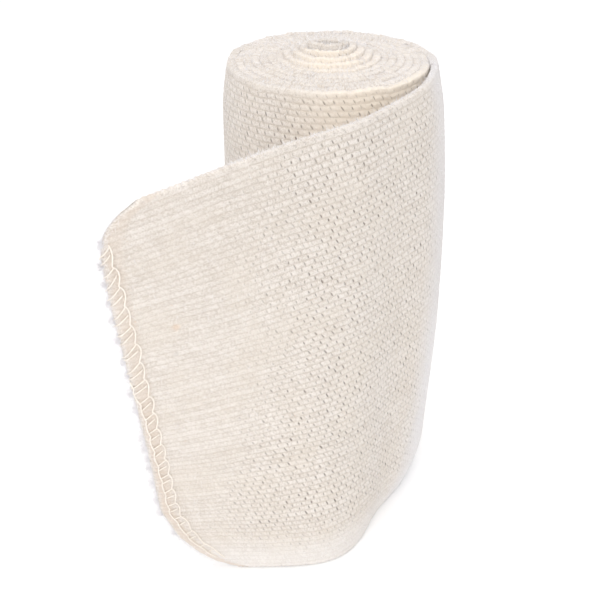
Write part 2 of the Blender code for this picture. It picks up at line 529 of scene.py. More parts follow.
def openness(distance, height):
    """How open the pinholes stand, from 0 to 1: most in the stretched middle, least at the cut end and the selvedges."""
    from_end = loose_reach(height) * LOOSE_LENGTH - distance
    shut, full = (read(OPENING, height / CLOTH_WIDTH, i, OPENING_BLUR) * MM for i in (1, 2))
    by_end = 0.12 + 0.88 * smooth(shut, full, from_end)
    by_roll = ROLL_OPENING + (1 - ROLL_OPENING) * smooth(-2 * MM, 8 * MM, distance)
    by_foot = 0.25 + 0.75 * smooth(2 * MM, 15 * MM, height)
    by_head = 0.60 + 0.40 * smooth(0.3 * MM, 2.5 * MM, CLOTH_WIDTH - height)
    return by_end * by_roll * by_foot * by_head


def surface_out(grid):
    """The outward direction at each point of a grid, steps along by rows up: up crossed with along."""
    return unit(np.cross(np.gradient(grid, axis=1), np.gradient(grid, axis=0)))


def grid_triangles(numbers):
    """Two triangles for each cell of a grid of point numbers, facing outwards on an outer face."""
    a, b, c, d = numbers[:-1, :-1], numbers[:-1, 1:], numbers[1:, 1:], numbers[1:, :-1]
    return np.concatenate([np.stack([a, b, c], -1).reshape(-1, 3), np.stack([a, c, d], -1).reshape(-1, 3)])


def zipped(first, second):
    """Triangles between two rows of point numbers: at each step the row that lags behind, as a share, moves on by one."""
    reach = np.concatenate([np.linspace(0, 1, len(first))[1:], np.linspace(0, 1, len(second))[1:]])
    order = np.argsort(reach, kind="stable")
    moves_first = order < len(first) - 1
    at_first = np.concatenate([[0], np.cumsum(moves_first)])
    at_second = np.concatenate([[0], np.cumsum(~moves_first)])
    new = np.where(moves_first, first[at_first[1:]], second[at_second[1:]])
    return np.stack([first[at_first[:-1]], new, second[at_second[:-1]]], -1)


def shell_triangles(front, back):
    """One closed skin from two grids of point numbers whose rims run side by side."""
    return np.concatenate([
        grid_triangles(front),
        grid_triangles(back)[:, ::-1],
        zipped(front[:, -1], back[:, -1])[:, ::-1],
        zipped(front[:, 0], back[:, 0]),
        zipped(front[-1], back[-1]),
        zipped(front[0], back[0])[:, ::-1],
    ])


def new_piece(name, points, triangles, material, uv=None, values=None, flat=0):
    """A piece from points and triangles, with its weave coordinates and named values at the points.

    It is shaded smooth but for the last triangles, the flat ones: they close a skin where the strip goes on in
    another piece, and a smooth edge there would shade a line across the cloth.
    """
    mesh = bpy.data.meshes.new(name)
    mesh.vertices.add(len(points))
    mesh.vertices.foreach_set("co", (points + AXIS).astype(np.float32).ravel())
    mesh.loops.add(triangles.size)
    mesh.loops.foreach_set("vertex_index", triangles.astype(np.int32).ravel())
    mesh.polygons.add(len(triangles))
    mesh.polygons.foreach_set("loop_start", np.arange(0, triangles.size, 3, dtype=np.int32))
    if uv is not None:
        layer = mesh.uv_layers.new(name="weave")
        layer.data.foreach_set("uv", uv[triangles.ravel()].astype(np.float32).ravel())
    for key, value in (values or {}).items():
        attribute = mesh.attributes.new(key, "FLOAT", "POINT")
        attribute.data.foreach_set("value", value.astype(np.float32).ravel())
    mesh.update(calc_edges=True)
    mesh.validate()
    is_smooth = np.ones(len(mesh.polygons), dtype=bool)
    is_smooth[len(is_smooth) - flat:] = False
    mesh.polygons.foreach_set("use_smooth", is_smooth)
    mesh.materials.append(material)
    obj = bpy.data.objects.new(name, mesh)
    bpy.context.scene.collection.objects.link(obj)
    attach(obj, "root")
    return obj


def across_section(row_steps, fill):
    """The outer face's way over the cloth's width: heights and the distance inside.

    Between the selvedges it goes up in equal steps of a row. Round each selvedge it follows half a flattened ellipse
    from the inner face, the fill's thickness inside, to the outer.
    """
    half = fill / 2
    turn = np.linspace(0, math.pi, 2 * EDGE_STEPS + 1)
    edge_height = EDGE_HEIGHT * (1 - np.sin(turn) ** 0.8)
    edge_inside = half * (1 + np.cos(turn))
    middle = np.arange(1, ROWS * row_steps) / row_steps * ROW_SPACING
    middle = middle[(middle > EDGE_HEIGHT * 1.01) & (middle < CLOTH_WIDTH - EDGE_HEIGHT * 1.01)]
    heights = np.concatenate([edge_height, middle, CLOTH_WIDTH - edge_height[::-1]])
    inside = np.concatenate([edge_inside, np.zeros(len(middle)), edge_inside[::-1]])
    return heights, inside


def selvedge_height(columns):
    """The bumps of a selvedge, where the crosswise yarns turn back: a sine along it whose height comes and goes."""
    distance = columns * HOLE_SPACING
    swell = 0.7 + 0.3 * np.sin(math.tau * distance * 137 + 2.1) * np.sin(math.tau * distance * 71 + 0.4)
    return SELVEDGE_RELIEF * swell * np.sin(math.tau * distance / SELVEDGE_BUMP)


def lumps(distance):
    """How far the edge of a wound turn stands out of true, in metres: a sum of waves along the strip."""
    return sum(amount * MM * np.sin(math.tau * (distance * cycles + phase)) for cycles, phase, amount in LUMPS)


def face_values(distance, height):
    """The slow values that the cotton finish reads at each point."""
    from_end = loose_reach(height) * LOOSE_LENGTH - distance
    ahead = distance / (read(PAINTED_RIM_REACH, height / CLOTH_WIDTH, 1, END_BLUR) * LOOSE_LENGTH)
    return {
        "opening": openness(distance, height),
        "from_end": from_end / MM,
        "from_edge": np.minimum(height, CLOTH_WIDTH - height) / MM,
        "painted_bounce": np.zeros(distance.shape),
        # Painted rim light: near the leaving line, fading along the loose end and back on the roll.
        "painted_rim_light": np.where(distance > 0, 1 - smooth(*PAINTED_RIM_FADE, ahead), 1 - smooth(0, PAINTED_RIM_BACK, -distance)),
    }


def joined(parts):
    """Points, weave coordinates and values of several grids, one after another, with each grid's point numbers."""
    first = np.cumsum([0] + [part["place"][..., 0].size for part in parts])
    numbers = [np.arange(a, b).reshape(part["place"].shape[:2]) for a, b, part in zip(first, first[1:], parts)]
    points = np.concatenate([part["place"].reshape(-1, 3) for part in parts])
    uv = np.concatenate([np.stack([part["columns"].ravel(), part["rows"].ravel()], 1) for part in parts])
    keys = parts[0]["values"]
    values = {key: np.concatenate([part["values"][key].ravel() for part in parts]) for key in keys}
    return points, uv, values, numbers


def lip_share(to_end):
    """How thick the cloth still is at a distance from its cut end, as a share: a quarter of an ellipse."""
    return np.sqrt(np.maximum(1 - np.clip(1 - to_end / LIP_LENGTH, 0, 1) ** 2, LIP_LEAST**2))


def loose_face(column_steps, row_steps, is_front):
    """One face of the loose end as a grid, with its lattice coordinates and values.

    The distance along each row is even up to the last quarter, which is drawn in or out to meet the cut end's line.
    At the cut end both faces close round a lip.
    """
    count = round(LOOSE_LENGTH / HOLE_SPACING * column_steps)
    along = np.linspace(0, 1, count + 1)
    if is_front:
        heights, inside = across_section(row_steps, LOOSE_EDGE_FILL)
    else:
        heights = np.linspace(EDGE_HEIGHT, CLOTH_WIDTH - EDGE_HEIGHT, ROWS * row_steps - 1)
        inside = np.full(len(heights), CLOTH_THICKNESS)
    along, height = np.meshgrid(along, heights, indexing="ij")
    inside = np.broadcast_to(inside, height.shape)
    end = loose_reach(height)
    distance = LOOSE_LENGTH * (along + (end - 1) * np.clip((along - 0.7) / 0.3, 0, 1) ** 2)
    to_end = end * LOOSE_LENGTH - distance
    lip = lip_share(to_end)
    half = CLOTH_THICKNESS / 2
    inside = half + (inside - half) * lip
    on_edge = 1 - smooth(0, SELVEDGE_REACH, np.minimum(height, CLOTH_WIDTH - height))
    shift_along, shift_up = wander(distance, height)
    columns = (distance + shift_along) / HOLE_SPACING
    rows = (height + shift_up) / ROW_SPACING
    grid = loose_place(distance, np.clip(height, NORMAL_STEP, CLOTH_WIDTH), inside)
    sign = 1 if is_front else -1
    relief = (weave_height(columns, rows) * (1 - on_edge) + selvedge_height(columns) * on_edge) * lip
    grid = grid + sign * surface_out(grid) * relief[..., None]
    return {"place": grid, "columns": columns, "rows": rows, "values": face_values(distance, height)}


def loose_end(material):
    """The loose end of the strip, a closed skin of two woven faces."""
    front = loose_face(FRONT_COLUMN_STEPS, FRONT_ROW_STEPS, True)
    back = loose_face(BACK_COLUMN_STEPS, BACK_ROW_STEPS, False)
    points, uv, values, numbers = joined([front, back])
    points[:, 2] = np.maximum(points[:, 2], 0)
    joint = len(numbers[0][0]) + len(numbers[1][0]) - 2
    piece = new_piece("loose_end_cloth", points, shell_triangles(*numbers), material, uv, values, joint)
    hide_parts("loose_end")
    return piece


def painted_bounce_light(turned, height):
    """Where painted light, standing for light that bounced between the yellowed turns, tints and lifts the roll's
    shade: in the wedge behind the loose end, and at the front of the hollow round the core.
    """
    back = WOUND - turned
    wedge = smooth(*WEDGE_STARTS, back) * (1 - smooth(*WEDGE_ENDS, back)) * smooth(*WEDGE_HEIGHTS, height / CLOTH_WIDTH)
    radius = CORE_HALF_WIDTH + PITCH * turned / FULL_TURN
    hollow = smooth(*HOLLOW_STARTS, radius) * (1 - smooth(*HOLLOW_ENDS, radius))
    in_front = np.maximum(0, -np.sin(LEAVING_ANGLE + WOUND - turned))
    return np.maximum(wedge, hollow * in_front)


def wound_face(turned, heights, inside, relief_share):
    """One face of the wound strip as a grid, with its lattice coordinates and values."""
    turned, height = np.meshgrid(turned, heights, indexing="ij")
    slit = smooth(*SLIT_OPENS, turned) * (1 - smooth(*SLIT_CLOSES, turned))
    inside = inside * (1 - SLIT_SHARE * slit)
    distance = wound_length(turned) - wound_length(WOUND)
    on_edge = 1 - smooth(0, SELVEDGE_REACH, np.minimum(height, CLOTH_WIDTH - height))
    shift_along, shift_up = wander(distance, height)
    columns = (distance + shift_along) / HOLE_SPACING
    rows = (height + shift_up) / ROW_SPACING
    grid = wound_place(turned, height, inside)
    relief = relief_share * weave_height(columns, rows) * (1 - on_edge) + selvedge_height(columns) * on_edge
    grid = grid + surface_out(grid) * relief[..., None]
    side = np.where(height > CLOTH_WIDTH / 2, 1, -1)
    near_edge = 1 - smooth(0, SHOULDER_HEIGHT, np.minimum(height, CLOTH_WIDTH - height))
    grid[..., 2] += side * near_edge * lumps(distance) * np.clip(-distance / ROLL_RADIUS, 0, 1)
    values = face_values(distance, height)
    # Painted bounce light on the roll.
    values["painted_bounce"] = painted_bounce_light(turned, height)
    return {"place": grid, "columns": columns, "rows": rows, "values": values}


def wound_shell(name, turned, back_turned, section, relief_share, material):
    """A stretch of the wound strip as a closed skin, the inner face with few points because it lies on the next turn."""
    front = wound_face(turned, *section, relief_share)
    back_heights = np.array([EDGE_HEIGHT, SHOULDER_HEIGHT, CLOTH_WIDTH - SHOULDER_HEIGHT, CLOTH_WIDTH - EDGE_HEIGHT])
    back_inside = np.array([WOUND_EDGE_FILL, CLOTH_THICKNESS, CLOTH_THICKNESS, WOUND_EDGE_FILL])
    back = wound_face(back_turned, back_heights, back_inside, 0)
    points, uv, values, numbers = joined([front, back])
    joints = 2 * (len(numbers[0][0]) + len(numbers[1][0]) - 2)
    return new_piece(name, points, shell_triangles(*numbers), material, uv, values, joints)


def turned_at(length):
    """How far the strip has turned at a length from the core: wound_length solved for the turn."""
    slope = PITCH / FULL_TURN
    return (np.sqrt(CORE_HALF_WIDTH**2 + 2 * slope * length) - CORE_HALF_WIDTH) / slope


def outer_turn(material):
    """The last turn of the roll, woven as finely as the loose end that goes on from it."""
    start = wound_length(WOUND - OUTER_TURNS * FULL_TURN)
    end = wound_length(WOUND)
    steps = round((end - start) / HOLE_SPACING * ROLL_COLUMN_STEPS)
    turned = turned_at(np.linspace(start, end, steps + 1))
    back = turned_at(np.linspace(start, end, steps // 4 + 1))
    section = across_section(BACK_ROW_STEPS, WOUND_EDGE_FILL)
    piece = wound_shell("roll_outer_turn", turned, back, section, 1.0, material)
    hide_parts("wound_roll")
    return piece


def inner_turns(material):
    """The turns inside the last one, of which only the selvedges show, at the top and underneath."""
    end = wound_length(WOUND - OUTER_TURNS * FULL_TURN)
    turned = turned_at(np.linspace(0, end, round(end / INNER_STEP) + 1))
    back = turned_at(np.linspace(0, end, round(end / MM) + 1))
    heights, inside = across_section(1, WOUND_EDGE_FILL)
    keep = (inside > 0) | (np.abs(heights - SHOULDER_HEIGHT) < 0.7 * ROW_SPACING)
    keep |= np.abs(CLOTH_WIDTH - heights - SHOULDER_HEIGHT) < 0.7 * ROW_SPACING
    piece = wound_shell("roll_inner_turns", turned, back, (heights[keep], inside[keep]), 0.0, material)
    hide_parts("wound_roll")
    return piece


def roll_axis():
    """Where the roll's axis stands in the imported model: its box's middle less the middle of the same spiral here.

    The box is that of the row with the greatest swell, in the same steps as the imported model's.
    """
    low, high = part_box("wound_roll")
    widest = max(SIDE_SWELL_ROWS, key=lambda row: row[1])[0] * CLOTH_WIDTH
    turned = np.linspace(0, WOUND, math.ceil(WOUND / FULL_TURN * STEPS_PER_TURN) + 1)
    ring = wound_place(turned, np.full(len(turned), widest), 0.0)
    middle = (ring.min(axis=0) + ring.max(axis=0)) / 2
    return np.array([(low.x + high.x) / 2 - middle[0], (low.y + high.y) / 2 - middle[1], 0.0])


def tubes(paths, radii, sides, across):
    """Closed tubes round many paths at once: points and triangles.

    Each ring lies across its path's way, in the directions way x across and way x (way x across).
    """
    way = unit(np.gradient(paths, axis=1))
    first = unit(np.cross(way, across))
    second = np.cross(way, first)
    turn = FULL_TURN * np.arange(sides)[:, None] / sides
    ring = np.cos(turn) * first[..., None, :] + np.sin(turn) * second[..., None, :]
    points = paths[..., None, :] + radii[..., None, None] * ring
    numbers = np.arange(points[..., 0].size).reshape(points.shape[:3])
    beside = np.roll(numbers, -1, axis=2)
    a, b, c, d = numbers[:, :-1], beside[:, :-1], beside[:, 1:], numbers[:, 1:]
    start = [numbers[:, 0, [0, i + 1, i]] for i in range(1, sides - 1)]
    end = [numbers[:, -1, [0, i, i + 1]] for i in range(1, sides - 1)]
    triangles = [np.stack([a, b, c], -1).reshape(-1, 3), np.stack([a, c, d], -1).reshape(-1, 3)] + start + end
    return points.reshape(-1, 3), np.concatenate(triangles)


def merged(meshes):
    """One list of points and one of triangles from several."""
    first = np.cumsum([0] + [len(points) for points, _ in meshes])
    points = np.concatenate([points for points, _ in meshes])
    return points, np.concatenate([triangles + start for start, (_, triangles) in zip(first, meshes)])


def stitch_place(way_round, height, lift=THREAD_LIFT):
    """A place on a thread that goes round the cut edge, a lift clear of the cloth.

    way_round is the way from the edge, positive on the outer face and negative on the inner. Near the edge the thread
    follows a hyperbola: its distance from the edge is the root of way_round squared plus EDGE_BEND squared.
    """
    bend = np.sqrt(way_round**2 + EDGE_BEND**2)
    from_edge = bend - EDGE_BEND - lift
    half = CLOTH_THICKNESS / 2
    above_middle = (half * lip_share(np.maximum(from_edge, 0)) + lift) * way_round / bend
    distance = loose_reach(height) * LOOSE_LENGTH - from_edge
    return loose_place(distance, height, half - above_middle)


def stitch_line(index, height):
    """The way from the cut edge of the chain or the second thread, so that the thread lies where STITCH_LINES says."""
    return read(STITCH_LINES, height / CLOTH_WIDTH, index, STITCH_BLUR) * MM + EDGE_BEND + THREAD_LIFT


def stitch_height(stitch):
    top, foot = STITCH_SPAN
    return CLOTH_WIDTH * (top + (foot - top) * stitch / STITCHES)


def bulge(stitch, sizes):
    """The thread's bow between two nodes of the stitch: a half sine wave, fullest a little before the middle."""
    part = np.mod(stitch, 1)
    return sizes[np.minimum(stitch.astype(int), STITCHES)] * np.sin(math.pi * part**BULGE_POWER)


def seam_threads(luck):
    """The chain down the outer face, the second thread in its lower part, and the seam on the inner face."""
    sizes = luck.uniform(0.75, 1.2, STITCHES + 1)
    stitch = np.linspace(0, STITCHES, STITCHES * POINTS_PER_STITCH + 1)
    height = stitch_height(stitch)
    way = stitch_line(1, height)
    chain = stitch_place(way + CHAIN_BULGE * bulge(stitch, sizes), height)
    below = height < LADDER_TOP * CLOTH_WIDTH
    second_way = stitch_line(2, height[below]) - LADDER_BULGE * bulge(stitch[below] + 0.5, sizes)
    second = stitch_place(second_way, height[below])
    seam = stitch_place(-(BACK_SEAM + EDGE_BEND), height)
    facing = np.array([0.0, -1.0, 0.0])
    lines = [line[None] for line in (chain, second, seam)]
    return [tubes(line, np.full(line.shape[:2], THREAD_RADIUS), THREAD_SIDES, facing) for line in lines]


def seam_strands(luck):
    """The strands from the chain: round the cut edge to the seam behind, or in the lower part to the second thread."""
    stitch = (np.arange(STITCHES)[:, None] + np.array(STRAND_STARTS)).ravel()
    stitch = stitch + luck.uniform(-0.05, 0.05, len(stitch))
    start = stitch_height(stitch)
    ladder = start < (LADDER_TOP - 0.04) * CLOTH_WIDTH
    share = np.linspace(0, 1, POINTS_PER_STRAND)
    way = stitch_line(1, start) + 0.3 * CHAIN_BULGE
    drop = STRAND_DROP * luck.uniform(0.75, 1.2, len(stitch))
    up = start[~ladder, None]
    front = np.clip(share * 2, 0, 1)
    behind = np.clip(share * 2 - 1, 0, 1)
    height = up - drop[~ladder, None] * front**0.85 - STRAND_BACK_DROP * behind
    round_way = way[~ladder, None] * (1 - front) - (BACK_SEAM + EDGE_BEND) * behind
    rounds = stitch_place(round_way, height)
    ends = stitch_line(2, start[ladder])
    short = ((way[ladder] - ends) / way[ladder])[:, None] * share
    height = start[ladder, None] - drop[ladder, None] * short
    rungs = stitch_place(way[ladder, None] * (1 - short), height)
    upright = np.array([0.0, 0.0, 1.0])
    return [tubes(line, np.full(line.shape[:2], STRAND_RADIUS), STRAND_SIDES, upright) for line in (rounds, rungs)]


def overlock(material):
    """The overlock stitch that holds the cut end."""
    luck = np.random.default_rng(SEED)
    points, triangles = merged(seam_threads(luck) + seam_strands(luck))
    piece = new_piece("overlock_thread", points, triangles, material)
    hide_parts("loose_end")
    return piece


def spikes(roots, ways, lengths, bends, radius):
    """Curved hairs: from the root along the way, bending aside with the square of the distance."""
    share = np.linspace(0, 1, len(FUZZ_SHAPE))[None, :, None]
    length = lengths[:, None, None]
    paths = roots[:, None] + length * (share * ways[:, None] + share**2 * bends[:, None])
    radii = radius * np.broadcast_to(np.array(FUZZ_SHAPE), paths.shape[:2])
    return tubes(paths, radii, 3, HAIR_ACROSS)


def fuzz(luck, roots, ways, spread, longer=1.0):
    """Hairs at the given roots, each along its own way plus a random one times the spread."""
    count = len(roots)
    ways = unit(ways + spread * luck.normal(size=(count, 3)))
    bends = 0.5 * luck.normal(size=(count, 3))
    return spikes(roots, ways, luck.uniform(*FUZZ_LENGTH, count) * longer, bends, FUZZ_RADIUS)


def on_loose_end(distance, height, inside):
    """Places on the loose end and the outward direction there."""
    return loose_place(distance, height, inside), ruled_out(distance / LOOSE_LENGTH, height)


def cut_edge(height, inwards):
    """Places in the middle of the cut edge, and the directions out of the edge there and out of the outer face."""
    end = loose_reach(height) * LOOSE_LENGTH - inwards
    half = np.full(len(height), CLOTH_THICKNESS / 2)
    place, out = on_loose_end(end, height, half)
    before = loose_place(end - LIP_LENGTH, height, half)
    return place, unit(place - before), out


def cloth_fuzz(material):
    """Loose fibres on both faces of the loose end, along its two selvedges and thickest along the cut edge."""
    luck = np.random.default_rng(SEED + 1)
    parts = []
    for count, inside, side in ((CLOTH_FUZZ, FUZZ_ROOT, 1), (CLOTH_BACK_FUZZ, CLOTH_THICKNESS - FUZZ_ROOT, -1)):
        height = luck.uniform(0.01, 0.99, count) * CLOTH_WIDTH
        distance = luck.uniform(0.01, 0.99, count) * loose_reach(height) * LOOSE_LENGTH
        roots, out = on_loose_end(distance, height, np.full(count, inside))
        parts.append(fuzz(luck, roots, side * 0.5 * out, 0.6))
    height = np.where(luck.random(SELVEDGE_FUZZ) < 0.75, CLOTH_WIDTH - FUZZ_ROOT, FUZZ_ROOT)
    distance = luck.uniform(0, 0.9, SELVEDGE_FUZZ) * LOOSE_LENGTH
    roots, out = on_loose_end(distance, height, luck.uniform(0.2, 0.8, SELVEDGE_FUZZ) * CLOTH_THICKNESS)
    up = np.where(height[:, None] > CLOTH_WIDTH / 2, 1.0, 0.2) * np.array([0.0, 0.0, 1.0])
    parts.append(fuzz(luck, roots, up + 0.3 * out, 0.5, 0.8))
    height = luck.uniform(0.02, 0.985, CUT_FUZZ) * CLOTH_WIDTH
    roots, along, _ = cut_edge(height, luck.uniform(0.1, 1.2, CUT_FUZZ) * MM)
    parts.append(fuzz(luck, roots, along, 0.45, 1.5))
    points, triangles = merged(parts)
    points[:, 2] = np.maximum(points[:, 2], 0)
    piece = new_piece("loose_end_fuzz", points, triangles, material)
    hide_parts("loose_end")
    return piece


def cut_tufts(material):
    """The frayed knobs on the cut edge: bundles of curly hairs.

    A hair is a line out of the edge with a circle of TUFT_CURL turning round it once or twice.
    """
    luck = np.random.default_rng(SEED + 2)
    which = np.repeat(np.arange(len(TUFTS)), TUFT_HAIRS)
    middle, reach, tall = (column(TUFTS, i)[which] for i in range(3))
    count = len(which)
    height = middle * CLOTH_WIDTH + luck.normal(size=count) * tall * MM / 4
    roots, along, out = cut_edge(height, luck.uniform(0.0, 0.8, count) * MM)
    aside = np.cross(along, out)
    way = unit(along + 0.45 * luck.normal(size=(count, 1)) * aside + 0.45 * luck.normal(size=(count, 1)) * out)
    share = np.linspace(0, 1, TUFT_RINGS)[None, :, None]
    length = (reach * luck.uniform(0.5, 1.3, count) * MM + 0.4 * MM)[:, None, None]
    turn = FULL_TURN * (luck.random((count, 1, 1)) + share * luck.uniform(0.6, 1.8, (count, 1, 1)))
    curl = TUFT_CURL * share * (np.cos(turn) * aside[:, None] + np.sin(turn) * out[:, None])
    paths = roots[:, None] + length * share * way[:, None] + curl
    points, triangles = tubes(paths, np.full(paths.shape[:2], TUFT_RADIUS), 3, HAIR_ACROSS)
    points[:, 2] = np.maximum(points[:, 2], 0)
    piece = new_piece("cut_end_tufts", points, triangles, material)
    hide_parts("loose_end")
    return piece


def roll_out(turned):
    """The roll's outward direction at a place of the spiral."""
    angle = LEAVING_ANGLE + WOUND - turned
    return np.stack([np.cos(angle), np.sin(angle), np.zeros_like(angle)], axis=-1)


def roll_fuzz(material):
    """Loose fibres on the outside of the roll."""
    luck = np.random.default_rng(SEED + 3)
    turned = WOUND - FULL_TURN * luck.random(ROLL_FUZZ)
    height = luck.uniform(0.01, 0.99, ROLL_FUZZ) * CLOTH_WIDTH
    roots = wound_place(turned, height, FUZZ_ROOT)
    piece = new_piece("roll_fuzz", *fuzz(luck, roots, 0.5 * roll_out(turned), 0.6), material)
    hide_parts("wound_roll")
    return piece


def top_fuzz(material):
    """Loose fibres on the selvedges that make up the roll's top, lying mostly flat."""
    luck = np.random.default_rng(SEED + 4)
    length = wound_length(WOUND) * luck.random(TOP_FUZZ)
    turned = turned_at(length)
    inside = PITCH * luck.uniform(0.05, 0.95, TOP_FUZZ)
    roots = wound_place(turned, np.full(TOP_FUZZ, CLOTH_WIDTH - 2 * FUZZ_ROOT), inside)
    ways = np.broadcast_to(np.array([0.0, 0.0, 0.6]), roots.shape)
    piece = new_piece("roll_top_fuzz", *fuzz(luck, roots, ways, 0.6, 0.9), material)
    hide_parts("wound_roll")
    return piece


class Value:
    """A number in a material. Arithmetic on it adds Math nodes."""

    def __init__(self, finish, socket):
        self.finish = finish
        self.socket = socket

    def __add__(self, other):
        return self.finish.math("ADD", self, other)

    def __radd__(self, other):
        return self.finish.math("ADD", other, self)

    def __sub__(self, other):
        return self.finish.math("SUBTRACT", self, other)

    def __rsub__(self, other):
        return self.finish.math("SUBTRACT", other, self)

    def __mul__(self, other):
        return self.finish.math("MULTIPLY", self, other)

    def __rmul__(self, other):
        return self.finish.math("MULTIPLY", other, self)

    def __truediv__(self, other):
        return self.finish.math("DIVIDE", self, other)

    def __neg__(self):
        return self.finish.math("MULTIPLY", self, -1.0)


class Finish:
    """A material under way: its node tree, and short ways to add to it."""

    def __init__(self, name):
        self.material = bpy.data.materials.new(name)
        self.material.use_nodes = True
        self.tree = self.material.node_tree
        self.shader = self.tree.nodes["Principled BSDF"]

    def node(self, kind, settings=None, inputs=None):
        """Any node: its type, its settings, which are set first, and the values or links of its sockets."""
        made = self.tree.nodes.new(kind)
        for key, value in (settings or {}).items():
            setattr(made, key, value)
        for key, value in (inputs or {}).items():
            self.feed(made.inputs[key], value)
        return made

    def feed(self, socket, value):
        if isinstance(value, Value):
            self.tree.links.new(value.socket, socket)
        elif isinstance(value, bpy.types.NodeSocket):
            self.tree.links.new(value, socket)
        elif socket.type == "RGBA" and len(value) == 3:
            socket.default_value = (*value, 1.0)
        else:
            socket.default_value = value

    def math(self, operation, *values):
        made = self.node("ShaderNodeMath", {"operation": operation}, dict(enumerate(values)))
        return Value(self, made.outputs[0])

    def step(self, start, end, value):
        """Nought at start and one at end, with a smooth step between."""
        made = self.node(
            "ShaderNodeMapRange",
            {"interpolation_type": "SMOOTHSTEP"},
            {"Value": value, "From Min": start, "From Max": end},
        )
        return Value(self, made.outputs["Result"])

    def attribute(self, name):
        return Value(self, self.node("ShaderNodeAttribute", {"attribute_name": name}).outputs["Fac"])

    def vector(self, x, y, z=0.0):
        return self.node("ShaderNodeCombineXYZ", inputs={"X": x, "Y": y, "Z": z}).outputs[0]

    def noise(self, vector, scale, detail=2.0, roughness=0.5):
        made = self.node(
            "ShaderNodeTexNoise",
            {"noise_dimensions": "3D"},
            {"Vector": vector, "Scale": scale, "Detail": detail, "Roughness": roughness},
        )
        return Value(self, made.outputs["Fac"])

    def chance(self, vector):
        """A random number for each whole-numbered vector."""
        made = self.node("ShaderNodeTexWhiteNoise", {"noise_dimensions": "3D"}, {"Vector": vector})
        return Value(self, made.outputs["Value"])

    def mix(self, factor, first, second, blend="MIX"):
        """A colour between two, or the first with the second laid on it by a blend mode."""
        made = self.node("ShaderNodeMix", {"data_type": "RGBA", "blend_type": blend}, {"Factor": factor})
        self.feed([s for s in made.inputs if s.name == "A" and s.type == "RGBA"][0], first)
        self.feed([s for s in made.inputs if s.name == "B" and s.type == "RGBA"][0], second)
        return [s for s in made.outputs if s.type == "RGBA"][0]


def soft_cotton(finish, roughness=0.92, sheen=0.5):
    """Sets the constants that all the cotton shares: matt, with the pale bloom of loose fibres at a glancing view."""
    inputs = finish.shader.inputs
    inputs["Roughness"].default_value = roughness
    inputs["Metallic"].default_value = 0.0
    inputs["Specular IOR Level"].default_value = 0.15
    inputs["Sheen Weight"].default_value = sheen
    inputs["Sheen Roughness"].default_value = 0.45
    inputs["Sheen Tint"].default_value = (1.0, 0.98, 0.97, 1.0)


def pinholes(f, along, up, chances, opening):
    """The pinholes' painted shade from 0 to 1, the dark seen through them, from the way along and up from a cell's
    middle in mm.

    A hole is dark where the slanted distance from it, over its half width, and the distance up, over its half
    height, lie inside the unit circle. Its width, slant, place and darkness are random, and the opening widens it.
    """
    luck, side_luck, tall_luck = chances
    width = (0.10 + 0.08 * luck) * (0.6 + 0.4 * opening)
    tall = (0.30 + 0.20 * tall_luck) * (0.55 + 0.45 * opening)
    slant = HOLE_SLANT + 0.30 * (tall_luck - 0.5)
    across = (along - up * slant + (side_luck - 0.5) * 0.34) / width
    upward = (up + (luck - 0.5) * 0.20) / tall
    hole = 1.0 - f.step(0.25, 1.9, across * across + upward * upward)
    return hole * opening * (0.30 + 0.50 * side_luck + 0.30 * luck)


